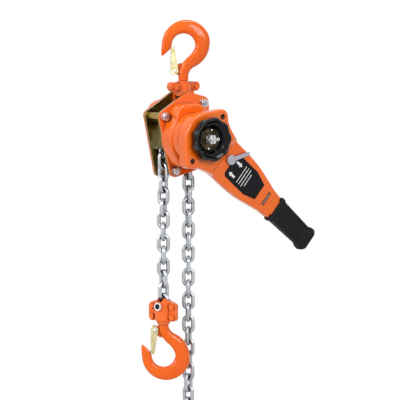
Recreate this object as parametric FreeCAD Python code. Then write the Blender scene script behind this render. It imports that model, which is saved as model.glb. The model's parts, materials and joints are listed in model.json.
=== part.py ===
import FreeCAD, Part
import math
import os

# Lever chain hoist, 0.75 t class. Millimetres. Front (handwheel side) faces -Y, +X is right, +Z is up.
# All pieces are modelled about the drive axis, which runs along Y through X = 0, Z = 0.
# The files are written in the hoist's own frame: its origin is the point on which the top hook hangs.

Vec = FreeCAD.Vector
UP = Vec(0, 0, 1)
ALONG = Vec(0, 1, 0)
RIGHT = Vec(1, 0, 0)

# Load chain, short link
wire_d = 6.0
pitch = 18.0
link_width = 20.2
link_play = 0.1
pockets = 4
load_links = 15
lift_links = 4
slack_links = 24
load_twist = 110.0
end_twist_links = 3
end_twist_step = 13.5
slack_twist_step = -3.3
end_ring_r = 11.0
end_ring_wire = 5.0

# Clearances
run = 0.05
free = 0.3
press = 0.01

# Side plates and the covers' flanges
plate_gap = 32.0
plate_t = 3.0
flange_t = 2.5
wall = 2.2
stay_r = 5.8
thread_r = 3.0
nut_flats = 11.4
nut_t = 5.0
washer_r = 6.4
washer_t = 1.2
thread_stand = 1.3
corner_r = 9.5
apex_r = 10.0
stay_left = (-35.5, 31.3)
stay_right = (35.2, 49.6)
stay_low = (41.0, -37.0)
stud_front = (-15.6, -51.0)
stud_rear = (-17.4, -52.6)
apex = (9.0, 57.0)

# Load sheave
sheave_half = 14.0
sheave_flange_r = 27.0
groove_play = 0.7
pocket_play = 0.6
journal_r = 14.0
bearing_r = 17.0
spline_r = 11.0

# Gear train: pinion, two intermediate gears, load gear
module = 1.5
pinion_teeth = 10
wheel_teeth = 28
train_angle = 98.0
pressure_angle = 20.0
pinion_tip = 1.2
wheel_tip = 1.0
root_gap = 0.3
flank_play = 0.12
shaft_r = 6.0
gear_shaft_r = 4.0
load_gear_t = 8.5
wheel_t = 7.0
cover_depth = 22.7
cover_fillet = 6.0
boss_r = 7.0
boss_t = 3.0

# Brake
hub_flange_r = 30.0
hub_flange_t = 4.0
hub_sleeve_r = 13.0
pad_r = 29.0
pad_t = 2.2
ratchet_r = 33.0
ratchet_t = 6.0
ratchet_teeth = 16
tooth_depth = 3.6
pawl_distance = 41.0
pawl_angle = 110.0
pawl_nose_turn = -26.0
pawl_nose_at = 32.0
pawl_nose_r = 1.3
pawl_shoulder_turn = -24.0
pawl_shoulder_at = 36.8
pawl_shoulder_r = 2.4
pawl_seat = 0.12
pawl_pin_r = 3.0
pawl_boss_r = 4.6
pawl_t = 4.5
brake_r = 39.4
brake_step = 21.5
brake_neck_r = 36.0
brake_neck = 15.0

# Change gear, which the lever drives
change_teeth = 14
change_tip_r = 23.5
change_root_r = 19.5
change_gear_t = 12.0
change_flange_t = 4.5
change_hub_r = 13.0
front_hub_r = 11.0

# Lever
lever_angle = -40.4
head_r = 40.0
ear_r = 11.5
ear_offset = 42.4
ear_front_angle = 50.0
lever_gap = 2.0
drum_depth = 11.0
shell_depth = 13.0
back_depth = 5.0
arm_drop = 6.0
arm_slope = ((36.5, -1.0), (52.25, 9.5))
arm_end = 248.0
tang_half = 14.0
screw_r = 2.0
screw_head_r = 4.1
screw_nut = (7.0, 3.2)
arm_profile = ((28.0, 38.4), (48.0, 33.4), (68.0, 32.9), (90.0, 32.0), (112.0, 29.4),
               (130.0, 25.5), (148.0, 21.3), (166.0, 18.8))
arm_taper = 0.1
tang_start = 170.0
lever_fillet = 4.0
arm_fillet = 3.0

# Grip
grip_start = 171.0
grip_end = 255.0
grip_wall = 2.6
grip_waist = 18.2
grip_narrow = 15.9
grip_lip = 20.6
grip_flare = 18.8

# Label and data plate
label_start = 61.0
label_shoulder = 109.0
label_end = 131.0
label_half = 21.0
label_end_half = 13.5
label_t = 0.5
label_cut = 4.0
data_plate_at = 147.5
data_plate_size = (4.6, 22.4)

# Selector
selector_at = (56.5, 4.0)
selector_disc_r = 7.5
selector_stem_r = 4.0
selector_t = 3.2
selector_reach = 34.6
selector_bearing = 55.0
selector_bar = 5.6

# Handwheel
wheel_lobes = 9
wheel_r = 32.4
wheel_lobe = 1.5
wheel_back = 89.0
wheel_front = 101.0
cup_r = 28.0
cup_floor_r = 17.0
wheel_floor_t = 2.5
wheel_hub_r = 17.0
ring_plate_t = 1.5
wheel_pull = 2.5
castle_flats = 13.0
castle_t = 5.0
castle_thread_r = 4.0
free_spring_r = 6.8
free_spring_wire = 0.4

# Hooks
bowl_r = 17.7
shank_r = 7.7
neck_r = 6.75
hook_head_r = 9.3
hook_head_t = 8.0
latch_pivot = (-12.6, 38.5)
latch_pin_r = 2.0
latch_sheet = 1.2
latch_half = 5.5
lug_half = 2.4
hook_axis_x = 13.9
top_bowl_z = 136.8
top_hook_turn = -30.0
bottom_hook_turn = -35.0

# Top yoke
yoke_top = 83.0
lobe_z = 74.6
lobe_offset = 19.0
lobe_r = 7.2
lobe_t = 6.0
barrel_r = 12.0
yoke_boss_r = 10.0
leg_half = 9.0
leg_t = 6.0
top_pin_z = 54.0
top_pin_r = 5.0
head_top = 72.0

# Bottom block
block_bottom = -28.0
block_barrel_r = 12.8
block_flange_t = 3.5
block_bolt_x = 18.5
block_bolt_z = (-0.5, -16.5)
block_ear_r = 6.2
block_crown = (0.0, 4.0, 8.0)
chain_pin_r = 3.7
block_turn = load_twist - 180.0
block_head_top = -13.0
bolt_r = 2.5

# Worked out from the sizes above
plate_in = plate_gap / 2
plate_out = plate_in + plate_t
flange_out = plate_out + flange_t
wire_r = wire_d / 2
link_bend_r = (link_width - wire_d) / 2
link_inside = pitch / 2 + link_play / 2
link_outside = link_inside + wire_d
joint_r = 0.5 * math.hypot(pitch / math.sin(math.pi / 2 / pockets), wire_d / math.cos(math.pi / 2 / pockets))
upright_r = math.sqrt(joint_r ** 2 - (pitch / 2 - wire_r) ** 2)
flat_r = math.sqrt(joint_r ** 2 - (pitch / 2 + wire_r) ** 2)
strand_x = upright_r
link_tangent = link_outside - wire_r - link_bend_r
groove_r = upright_r - link_width / 2 - free
pocket_floor_r = flat_r - wire_r - 0.1
gear_centres = module * (pinion_teeth + wheel_teeth) / 2
wheel_tip_r = module * wheel_teeth / 2 + wheel_tip
pinion_tip_r = module * pinion_teeth / 2 + pinion_tip
load_gear_y = plate_out + 1.5
ring_y = load_gear_y + load_gear_t
wheel_y = ring_y + 2.0
cover_end = plate_out + cover_depth
brake_front = flange_out + brake_step
neck_front = brake_front + brake_neck
hub_back = plate_out + 4.5
pad_back = hub_back + hub_flange_t + free
ratchet_back = pad_back + pad_t
pad_front = ratchet_back + ratchet_t
change_back = pad_front + pad_t + free
lever_back = neck_front + lever_gap
seam = lever_back + drum_depth
lever_front = seam + shell_depth
arm_front = lever_front - arm_drop
change_gear_back = lever_back + wall + 1.8
wheel_floor_back = lever_front + 2.0
wheel_floor = wheel_floor_back + wheel_floor_t
castle_back = wheel_floor + ring_plate_t + wheel_pull + free
castle_front = castle_back + castle_t
chain_pin_z = -pitch * (load_links - 1) - link_inside + chain_pin_r + 2 * run
frame_origin = Vec(hook_axis_x, 0, top_bowl_z + bowl_r)

os.makedirs("parts", exist_ok=True)


def export(name, solids):
    shape = solids[0] if len(solids) == 1 else Part.makeCompound(solids)
    moved = shape.copy()
    moved.translate(-frame_origin)
    moved.exportStep("parts/" + name + ".step")


def box(x0, x1, y0, y1, z0, z1):
    return Part.makeBox(x1 - x0, y1 - y0, z1 - z0, Vec(x0, y0, z0))


def rod(radius, y0, y1, x=0.0, z=0.0):
    return Part.makeCylinder(radius, y1 - y0, Vec(x, y0, z), ALONG)


def post(radius, z0, z1, x=0.0, y=0.0):
    return Part.makeCylinder(radius, z1 - z0, Vec(x, y, z0), UP)


def ring(outer, inner, y0, y1, x=0.0, z=0.0):
    return rod(outer, y0, y1, x, z).cut(rod(inner, y0 - 1, y1 + 1, x, z))


def fuse(shapes):
    return shapes[0].multiFuse(shapes[1:]).removeSplitter()


def hexagon(flats, y0, y1, x=0.0, z=0.0):
    corner = flats / 2 / math.cos(math.pi / 6)
    points = []
    for step in range(7):
        angle = math.radians(60 * step)
        points.append(Vec(x + corner * math.cos(angle), y0, z + corner * math.sin(angle)))
    prism = Part.Face(Part.makePolygon(points)).extrude(Vec(0, y1 - y0, 0))
    return prism.common(rod(corner * 0.97, y0, y1, x, z))


def turned(shape, angle, centre=Vec(0, 0, 0), axis=UP):
    copy = shape.copy()
    copy.rotate(centre, axis, angle)
    return copy


def hull_wire(circles, y):
    # Closed outline around circles given as (x, z, radius), anticlockwise as seen from the front.
    normals = []
    count = len(circles)
    for i in range(count):
        x0, z0, r0 = circles[i]
        x1, z1, r1 = circles[(i + 1) % count]
        length = math.hypot(x1 - x0, z1 - z0)
        dx = (x1 - x0) / length
        dz = (z1 - z0) / length
        along = (r0 - r1) / length
        side = math.sqrt(1 - along ** 2)
        normals.append(math.atan2(dz * along - dx * side, dx * along + dz * side))
    edges = []
    for i in range(count):
        x, z, r = circles[i]
        start = normals[i - 1]
        end = normals[i]
        while end < start:
            end += 2 * math.pi
        arc = []
        for angle in (start, (start + end) / 2, end):
            arc.append(Vec(x + r * math.cos(angle), y, z + r * math.sin(angle)))
        edges.append(Part.Arc(arc[0], arc[1], arc[2]).toShape())
        x1, z1, r1 = circles[(i + 1) % count]
        landing = Vec(x1 + r1 * math.cos(end), y, z1 + r1 * math.sin(end))
        edges.append(Part.LineSegment(arc[2], landing).toShape())
    return Part.Wire(edges)


def hull(circles, y0, y1):
    return Part.Face(hull_wire(circles, y0)).extrude(Vec(0, y1 - y0, 0))


def grown(circles, amount):
    return [(x, z, r + amount) for x, z, r in circles]


def rounded(shape, radius, y):
    # Rounds every edge that lies in the plane at this y and runs along the outside.
    edges = []
    for edge in shape.Edges:
        size = edge.BoundBox
        if abs(size.YMin - y) < 1e-4 and abs(size.YMax - y) < 1e-4:
            edges.append(edge)
    return shape.makeFillet(radius, edges)


def coil_spring(coil_r, wire, turns, y0, y1, x=0.0, z=0.0):
    # Round-wire spring whose whole length, wire included, runs from y0 to y1.
    # Each half turn bends in a tilted plane of its own and runs on smoothly into the next.
    halves = round(2 * turns)
    rise = (y1 - y0 - 2 * wire) / halves
    pieces = []
    for k in range(halves):
        side = 1 if k % 2 == 0 else -1
        start = Vec(x + side * coil_r, y0 + wire + rise * k, z)
        end = Vec(x - side * coil_r, start.y + rise, z)
        disc = Part.Face(Part.Wire([Part.makeCircle(wire, start, UP)]))
        pieces.append(disc.revolve((start + end) / 2, (end - start).cross(UP) * side, 180))
    return fuse(pieces)


# Chain


def chain_link(centre, azimuth, tilt=0.0):
    # One link, long axis upright, its broad side facing the azimuth, then tilted about the drive axis.
    pieces = []
    for side in (-1, 1):
        x = side * link_bend_r
        pieces.append(Part.makeCylinder(wire_r, 2 * link_tangent, Vec(x, 0, -link_tangent), UP))
    bend = Part.makeTorus(link_bend_r, wire_r, Vec(0, 0, 0), ALONG)
    top = bend.common(box(-link_width, link_width, -wire_d, wire_d, 0, link_width))
    top.translate(Vec(0, 0, link_tangent))
    low = turned(top, 180, Vec(0, 0, 0), ALONG)
    pieces.append(top)
    pieces.append(low)
    link = fuse(pieces)
    link.rotate(Vec(0, 0, 0), UP, azimuth)
    link.rotate(Vec(0, 0, 0), ALONG, tilt)
    link.translate(centre)
    return link


def strand_link(index, x, twist):
    flat = 90 if index % 2 else 0
    return chain_link(Vec(x, 0, -pitch * index), flat + twist)


# The load strand hangs slightly twisted below its second link, and a little more above the block.
end_twist_from = load_links - 1 - end_twist_links
twist_step = (load_twist - end_twist_links * end_twist_step) / (end_twist_from - 1)
load_strand = []
for k in range(load_links):
    twist = twist_step * max(min(k, end_twist_from) - 1, 0) + end_twist_step * max(k - end_twist_from, 0)
    load_strand.append(strand_link(k, -strand_x, twist))
export("load_chain_upper", load_strand[:lift_links])
export("load_chain", load_strand[lift_links:])
slack_strand = [strand_link(k, strand_x, slack_twist_step * max(k - 1, 0)) for k in range(slack_links)]
export("slack_chain", slack_strand)

over_sheave = []
for angle, flat, radius in ((45, 90, flat_r), (90, 0, upright_r), (135, 90, flat_r)):
    across = math.radians(angle)
    centre = Vec(radius * math.cos(across), 0, radius * math.sin(across))
    over_sheave.append(chain_link(centre, flat, -angle))
export("chain_on_sheave", over_sheave)

end_ring_z = -pitch * (slack_links - 1) - link_inside + end_ring_wire / 2 + run - end_ring_r
last_turn = (90 if slack_links % 2 == 0 else 0) + slack_twist_step * (slack_links - 2)
end_ring = Part.makeTorus(end_ring_r, end_ring_wire / 2, Vec(0, 0, 0), Vec(0, -1, 0))
end_ring.rotate(Vec(0, 0, 0), UP, last_turn + 90)
end_ring.translate(Vec(strand_x, 0, end_ring_z))
export("chain_end_ring", [end_ring])

# Side plates, stays, covers' nuts


def corners(stud):
    return [(stay_low[0], stay_low[1], corner_r), (stay_right[0], stay_right[1], corner_r + 1),
            (apex[0], apex[1], apex_r), (stay_left[0], stay_left[1], corner_r),
            (stud[0], stud[1], corner_r)]


front_corners = corners(stud_front)
rear_corners = corners(stud_rear)
stays = (stay_left, stay_right, stay_low)
train = math.radians(train_angle)
gear_posts = []
for side in (1, -1):
    gear_posts.append((side * gear_centres * math.cos(train), side * gear_centres * math.sin(train)))
stripper_z = -(sheave_flange_r + 13.0)
pin_holes = ((hook_axis_x, top_pin_z, top_pin_r + press), (0, stripper_z, thread_r + press))


def side_plate(side, outline, stud):
    inner = side * plate_in
    outer = side * plate_out
    low = min(inner, outer)
    high = max(inner, outer)
    plate = hull(outline, low, high)
    holes = [rod(bearing_r, low - 1, high + 1)]
    for x, z in stays + (stud,):
        holes.append(rod(thread_r + press, low - 1, high + 1, x, z))
    for x, z, r in pin_holes:
        holes.append(rod(r, low - 1, high + 1, x, z))
    if side > 0:
        for x, z in gear_posts:
            holes.append(rod(gear_shaft_r + run, low - 1, high + 1, x, z))
    else:
        for pawl_side in (0, 180):
            turn = math.radians(pawl_angle + pawl_side)
            x = pawl_distance * math.cos(turn)
            z = pawl_distance * math.sin(turn)
            holes.append(rod(pawl_pin_r + press, low - 1, high + 1, x, z))
    return plate.cut(Part.makeCompound(holes))


export("brake_side_plate", [side_plate(-1, front_corners, stud_front)])
export("gear_side_plate", [side_plate(1, rear_corners, stud_rear)])

thread_end = flange_out + washer_t + nut_t + thread_stand
stay_bolts = []
for x, z in stays:
    stay_bolts.append(fuse([rod(stay_r, -plate_in, plate_in, x, z), rod(thread_r, -thread_end, thread_end, x, z)]))
export("stay_bolts", stay_bolts)
front_stud = rod(thread_r, -thread_end, -plate_in, stud_front[0], stud_front[1])
rear_stud = rod(thread_r, plate_in, thread_end, stud_rear[0], stud_rear[1])
export("cover_studs", [front_stud, rear_stud])


def cover_nut(side, x, z):
    face = flange_out + washer_t
    nut = hexagon(nut_flats, face, face + nut_t, x, z).cut(rod(thread_r + press, face - 1, face + nut_t + 1, x, z))
    washer = ring(washer_r, thread_r + press, flange_out, face, x, z)
    if side < 0:
        nut = nut.mirror(Vec(0, 0, 0), ALONG)
        washer = washer.mirror(Vec(0, 0, 0), ALONG)
    return [nut, washer]


for name, side, stud in (("front_cover_nuts", -1, stud_front), ("rear_cover_nuts", 1, stud_rear)):
    nuts = []
    for x, z in stays + (stud,):
        nuts += cover_nut(side, x, z)
    export(name, nuts)

top_pin = rod(top_pin_r, -plate_out, plate_out, hook_axis_x, top_pin_z)
export("top_pin", [top_pin])
bearings = [ring(bearing_r - press, journal_r + run, plate_in, plate_out),
            ring(bearing_r - press, journal_r + run, -plate_out, -plate_in)]
export("sheave_bearings", bearings)

# Chain guides each side of the sheave, and the stripper below it with its trunnion in the plates
guide_in_r = strand_x + link_width / 2 + 0.8
guide_t = 2.0
guide_low = -18.0
guide_out_r = guide_in_r + guide_t
curve = ring(guide_out_r, guide_in_r, -plate_in, plate_in)
curve = curve.common(box(guide_in_r * 0.84, guide_out_r, -plate_in, plate_in, 0, guide_out_r))
guide = fuse([curve, box(guide_in_r, guide_out_r, -plate_in, plate_in, guide_low, 0)])
export("chain_guides", [guide, guide.mirror(Vec(0, 0, 0), RIGHT)])

groove_half = wire_r + groove_play
stripper_half = groove_half - 0.5
stripper = box(-9.5, 9.5, -stripper_half, stripper_half, stripper_z - 6, -groove_r / 2)
stripper = stripper.cut(rod(groove_r + 0.6, -plate_in, plate_in))
stripper = fuse([stripper, rod(4.0, -plate_in, plate_in, 0, stripper_z),
                 rod(thread_r, -plate_out, plate_out, 0, stripper_z)])
export("chain_stripper", [stripper])

# Load sheave
journal_end = plate_out + 0.6
sheave = fuse([rod(sheave_flange_r, -sheave_half, sheave_half), rod(journal_r, -journal_end, journal_end),
               rod(spline_r, 0, ring_y + 1.2)])
sheave = sheave.cut(ring(sheave_flange_r + 5, groove_r, -groove_half, groove_half))
pocket_half = link_width / 2 + pocket_play
pocket_length = link_outside + pocket_play
for k in range(pockets):
    middle = [(pocket_length - pocket_half, 0), (pocket_half - pocket_length, 0)]
    pocket = fuse([Part.makeCylinder(pocket_half, 20, Vec(pocket_floor_r, 0, z), RIGHT)
                   for z, _ in middle] + [box(pocket_floor_r, pocket_floor_r + 20, -pocket_half, pocket_half,
                                              middle[1][0], middle[0][0])])
    sheave = sheave.cut(turned(pocket, 45 + 360 / pockets * k, Vec(0, 0, 0), ALONG))
sheave = sheave.cut(rod(shaft_r + run, -journal_end - 1, ring_y + 3))
export("load_sheave", [sheave])

# Gears: flanks are involutes, each thinned a little for play


def spur_gear(teeth, tip, root, thickness, tooth_at):
    pitch_r = module * teeth / 2
    base_r = pitch_r * math.cos(math.radians(pressure_angle))
    tip_r = pitch_r + tip
    root_r = pitch_r - root
    lean = math.tan(math.radians(pressure_angle)) - math.radians(pressure_angle)
    half_pitch = math.pi / 2 / teeth - flank_play / pitch_r

    def flank_point(radius, turn, side):
        ratio = max(radius / base_r, 1.0)
        roll = math.sqrt(ratio ** 2 - 1)
        angle = turn + side * (half_pitch + lean - (roll - math.atan(roll)))
        return Vec(radius * math.cos(angle), 0, radius * math.sin(angle))

    start_r = max(base_r, root_r)
    radii = [start_r + (tip_r - start_r) * k / 4 for k in range(5)]
    edges = []
    first = None
    last = None
    for k in range(teeth):
        turn = math.radians(tooth_at) + 2 * math.pi * k / teeth
        rising = [flank_point(radius, turn, -1) for radius in radii]
        falling = [flank_point(radius, turn, 1) for radius in reversed(radii)]
        foot_in = flank_point(root_r, turn, -1)
        foot_out = flank_point(root_r, turn, 1)
        if last is None:
            first = foot_in
        else:
            edges.append(Part.LineSegment(last, foot_in).toShape())
        if start_r > root_r:
            edges.append(Part.LineSegment(foot_in, rising[0]).toShape())
        for points in (rising, falling):
            curve = Part.BSplineCurve()
            curve.interpolate(points)
            if points is falling:
                tip_mid = Vec(tip_r * math.cos(turn), 0, tip_r * math.sin(turn))
                edges.append(Part.Arc(rising[-1], tip_mid, falling[0]).toShape())
            edges.append(curve.toShape())
        if start_r > root_r:
            edges.append(Part.LineSegment(falling[-1], foot_out).toShape())
        last = foot_out
    edges.append(Part.LineSegment(last, first).toShape())
    return Part.Face(Part.Wire(edges)).extrude(Vec(0, thickness, 0))


pinion_root = wheel_tip + root_gap
wheel_root = pinion_tip + root_gap
half_tooth = 180.0 / wheel_teeth
load_gear = spur_gear(wheel_teeth, wheel_tip, wheel_root, load_gear_t, train_angle)
load_gear.translate(Vec(0, load_gear_y, 0))
export("load_gear", [load_gear.cut(rod(spline_r + press, 0, ring_y + 1))])
export("gear_snap_ring", [ring(spline_r + 3, spline_r + press, ring_y, ring_y + 1.0)])

journal_out = cover_end + 1.0
upper_gear = fuse([rod(gear_shaft_r, plate_in + 0.3, journal_out),
                   spur_gear(pinion_teeth, pinion_tip, pinion_root, load_gear_t + 1.9, 180.0 + train_angle + 18.0)
                   .translate(Vec(0, load_gear_y, 0)),
                   spur_gear(wheel_teeth, wheel_tip, wheel_root, wheel_t, 180.0 + train_angle + half_tooth)
                   .translate(Vec(0, wheel_y, 0))])
upper_gear.translate(Vec(gear_posts[0][0], 0, gear_posts[0][1]))
export("upper_gear", [upper_gear])
export("lower_gear", [turned(upper_gear, 180, Vec(0, 0, 0), ALONG)])

pinion = spur_gear(pinion_teeth, pinion_tip, pinion_root, wheel_t, train_angle)
pinion.translate(Vec(0, wheel_y, 0))
thread_front = castle_front + 0.6
cotter_r = 1.0
cotter_y = -(castle_front - 1.4)
drive_shaft = fuse([rod(shaft_r, -castle_back, wheel_y), pinion, rod(gear_shaft_r, wheel_y, journal_out),
                    rod(castle_thread_r, -thread_front, -castle_back)])
drive_shaft = drive_shaft.cut(Part.makeCylinder(cotter_r + press, 20, Vec(-10, cotter_y, 0), RIGHT))
export("drive_shaft", [drive_shaft])

# Gear cover
train_room = wheel_tip_r + wall + 1.0
train_circles = [(x, z, train_room) for x, z in gear_posts]
drum = hull(train_circles, plate_out, cover_end)
drum = rounded(drum, cover_fillet, cover_end)
stud_pocket_r = 6.6
pocket = rod(stud_pocket_r, flange_out, cover_end + 1, stud_rear[0], stud_rear[1])
gear_cover = fuse([drum.cut(pocket), hull(rear_corners, plate_out, flange_out)])
journals = gear_posts + [(0.0, 0.0)]
for x, z in journals:
    gear_cover = gear_cover.fuse(rod(boss_r, cover_end - 1, cover_end + boss_t, x, z))
cavity = rounded(hull(grown(train_circles, -wall), plate_out - 1, cover_end - wall), cover_fillet - wall,
                 cover_end - wall)
cavity = cavity.cut(rod(stud_pocket_r + wall, plate_out - 1, cover_end, stud_rear[0], stud_rear[1]))
gear_cover = gear_cover.cut(cavity)
for x, z in journals:
    gear_cover = gear_cover.cut(rod(gear_shaft_r + run, plate_out, journal_out + free, x, z))
for x, z in stays + (stud_rear,):
    gear_cover = gear_cover.cut(rod(thread_r + press, plate_out - 1, flange_out + 1, x, z))
export("gear_cover", [gear_cover.removeSplitter()])

# Brake: hub on the drive shaft, two pads, ratchet disc, pawls
brake_hub = fuse([rod(hub_flange_r, -hub_back - hub_flange_t, -hub_back), rod(hub_sleeve_r, -change_back + free, -hub_back)])
export("brake_hub", [brake_hub.cut(rod(shaft_r + press, -90, 0))])
pads = []
for y in (pad_back, pad_front):
    pads.append(ring(pad_r, hub_sleeve_r + run, -y - pad_t, -y))
export("friction_pads", pads)


def saw_tooth_disc(tip_r, depth, teeth, y0, y1):
    points = []
    for k in range(teeth):
        for turn, radius in ((0.0, tip_r - depth), (0.78, tip_r), (0.92, tip_r)):
            angle = 2 * math.pi * (k + turn) / teeth
            points.append(Vec(radius * math.cos(angle), y0, radius * math.sin(angle)))
    points.append(points[0])
    return Part.Face(Part.makePolygon(points)).extrude(Vec(0, y1 - y0, 0))


ratchet = saw_tooth_disc(ratchet_r, tooth_depth, ratchet_teeth, -ratchet_back - ratchet_t, -ratchet_back)
ratchet = turned(ratchet, pawl_seat * 360 / ratchet_teeth - pawl_angle - pawl_nose_turn, Vec(0, 0, 0), ALONG)
export("ratchet_disc", [ratchet.cut(rod(hub_sleeve_r + run, -80, 0))])


def pawl():
    # The nose sits just behind a tooth's steep face; the boss turns on its pin.
    middle = ratchet_back + ratchet_t / 2
    low = -middle - pawl_t / 2
    high = -middle + pawl_t / 2
    circles = []
    for turn, reach, radius in ((0.0, pawl_distance, pawl_boss_r),
                                (pawl_shoulder_turn, pawl_shoulder_at, pawl_shoulder_r),
                                (pawl_nose_turn, pawl_nose_at, pawl_nose_r)):
        angle = math.radians(pawl_angle + turn)
        circles.append((reach * math.cos(angle), reach * math.sin(angle), radius))
    body = fuse([hull(circles[:2], low, high), hull(circles[1:], low, high)])
    return body.cut(rod(pawl_pin_r + run, low - 1, high + 1, circles[0][0], circles[0][1]))


upper_pawl = pawl()
export("upper_pawl", [upper_pawl])
export("lower_pawl", [turned(upper_pawl, 180, Vec(0, 0, 0), ALONG)])

pawl_pins = []
pawl_springs = []
pin_end = ratchet_back + ratchet_t + 1.5
pawl_back = ratchet_back + (ratchet_t - pawl_t) / 2
for side in (0, 180):
    turn = math.radians(pawl_angle + side)
    x = pawl_distance * math.cos(turn)
    z = pawl_distance * math.sin(turn)
    pin = fuse([rod(pawl_pin_r, -pin_end, -plate_in, x, z), rod(pawl_pin_r + 1.2, -pin_end - 1.2, -pin_end, x, z)])
    pawl_pins.append(pin)
    pawl_springs.append(coil_spring(pawl_pin_r + 0.9, 0.6, 4, -pawl_back + 0.1, -plate_out - 0.1, x, z))
export("pawl_pins", pawl_pins)
export("pawl_springs", pawl_springs)

# Brake cover: house-shaped flange, a deep first step that clears the pawls, a round neck
first_step = [(0, 0, brake_r), (10, 31, 19.5), (-9, 30, 20), (0, 0, brake_r), (-9, -27, 19), (9, -29, 20)]
step = rounded(hull(first_step, -brake_front, -plate_out), 4.0, -brake_front)
neck = rounded(rod(brake_neck_r, -neck_front, -brake_front + 5), 3.0, -neck_front)
nut_pocket_r = 8.2
pockets_front = []
pocket_walls = []
for x, z in stays + (stud_front,):
    pockets_front.append(rod(nut_pocket_r, -neck_front - 1, -flange_out, x, z))
    pocket_walls.append(rod(nut_pocket_r + wall, -neck_front - 1, 0, x, z))
brake_cover = fuse([step, neck]).cut(Part.makeCompound(pockets_front))
brake_cover = fuse([brake_cover, hull(front_corners, -flange_out, -plate_out)])
inside = fuse([hull(grown(first_step, -wall), -brake_front + wall, -plate_out + 1),
               rod(brake_neck_r - wall, -neck_front + wall, -brake_front + 6)])
inside = inside.cut(Part.makeCompound(pocket_walls))
brake_cover = brake_cover.cut(inside)
brake_cover = brake_cover.cut(rod(change_hub_r + free, -neck_front - 1, -brake_front))
for x, z in stays + (stud_front,):
    brake_cover = brake_cover.cut(rod(thread_r + press, -flange_out - 1, -plate_out + 1, x, z))
export("brake_cover", [brake_cover.removeSplitter()])

# Change gear: brake flange, hub, the gear that the lever drives, front hub for the handwheel
front_hub_end = wheel_floor - run
teeth_cut = []
change_gear = fuse([rod(pad_r, -change_back - change_flange_t, -change_back),
                    rod(change_hub_r, -change_gear_back - change_gear_t, -change_back),
                    rod(change_tip_r, -change_gear_back - change_gear_t, -change_gear_back),
                    rod(front_hub_r, -front_hub_end, -change_gear_back)])
for k in range(change_teeth):
    gap = hull([(change_root_r + 2.2, 0, 2.2), (change_tip_r + 4, 0, 3.6)], -change_gear_back - change_gear_t - 1,
               -change_gear_back + 1)
    teeth_cut.append(turned(gap, 360 / change_teeth * k, Vec(0, 0, 0), ALONG))
change_gear = change_gear.cut(Part.makeCompound(teeth_cut)).cut(rod(shaft_r + press, -95, 0))
export("change_gear", [change_gear])

# Lever, laid out along +X and turned to its place at the end


def lever_outline(inset, y):
    # Half-round head, two ears for the screws, waisted arm, and the tang that the grip covers.
    ear = ear_r - inset
    head = head_r - inset
    lift = math.asin((head - ear) / ear_offset)
    side = (math.sin(lift), math.cos(lift))
    ear_back = Vec(-ear * side[1], y, ear_offset + ear * side[0])
    head_start = Vec(-head * side[1], y, head * side[0])
    fore = math.radians(ear_front_angle)
    ear_front = Vec(ear * math.sin(fore), y, ear_offset + ear * math.cos(fore))
    ear_top_angle = (math.pi / 2 + fore) / 2 - math.pi / 2
    ear_top = Vec(ear * math.sin(ear_top_angle * 0.4), y, ear_offset + ear * math.cos(ear_top_angle * 0.4))
    points = [ear_front]
    for s, half in arm_profile:
        points.append(Vec(s, y, half - inset))
    tang = Vec(tang_start, y, arm_profile[-1][1] - inset)
    upper = Part.BSplineCurve()
    upper.interpolate(Points=points, InitialTangent=Vec(math.cos(fore), 0, -math.sin(fore)),
                      FinalTangent=Vec(1, 0, -arm_taper))
    end = points[-1]
    shoulder = Vec(tang_start, y, end.z - arm_taper * (tang_start - end.x))
    corner = Vec(tang_start, y, tang_half - inset)
    tip = Vec(arm_end - inset, y, tang_half - inset)
    half = [Part.Arc(head_start_mid(head, y), head_mid(head, head_start, y), head_start).toShape(),
            Part.LineSegment(head_start, ear_back).toShape(),
            Part.Arc(ear_back, ear_top, ear_front).toShape(),
            upper.toShape(),
            Part.LineSegment(end, shoulder).toShape(),
            Part.LineSegment(shoulder, corner).toShape(),
            Part.LineSegment(corner, tip).toShape()]
    other = [edge.mirror(Vec(0, 0, 0), UP) for edge in half]
    close = Part.LineSegment(tip, Vec(tip.x, y, -tip.z)).toShape()
    return Part.Wire(Part.__sortEdges__(half + [close] + other))


def head_start_mid(head, y):
    return Vec(-head, y, 0)


def head_mid(head, start, y):
    angle = (math.pi + math.atan2(start.z, start.x)) / 2
    return Vec(head * math.cos(angle), y, head * math.sin(angle))


def lever_prism(inset, y0, y1):
    return Part.Face(lever_outline(inset, y0)).extrude(Vec(0, y1 - y0, 0))


def head_part(inset):
    # What stays of a prism of the head: the slope from the raised head down to the arm ends it.
    (s0, y0), (s1, y1) = arm_slope
    back = -seam + 1
    shift = inset * math.hypot(s1 - s0, y1 - y0) / (y1 - y0)
    corners_xy = ((-80, -lever_front + y0), (s0 - shift, -lever_front + y0), (s1 - shift, -lever_front + y1),
                  (s1 - shift, back), (-80, back))
    points = [Vec(x, y, -80) for x, y in corners_xy]
    return Part.Face(Part.makePolygon(points + [points[0]])).extrude(Vec(0, 0, 160))


def to_lever(shape):
    return turned(shape, -lever_angle, Vec(0, 0, 0), ALONG)


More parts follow.
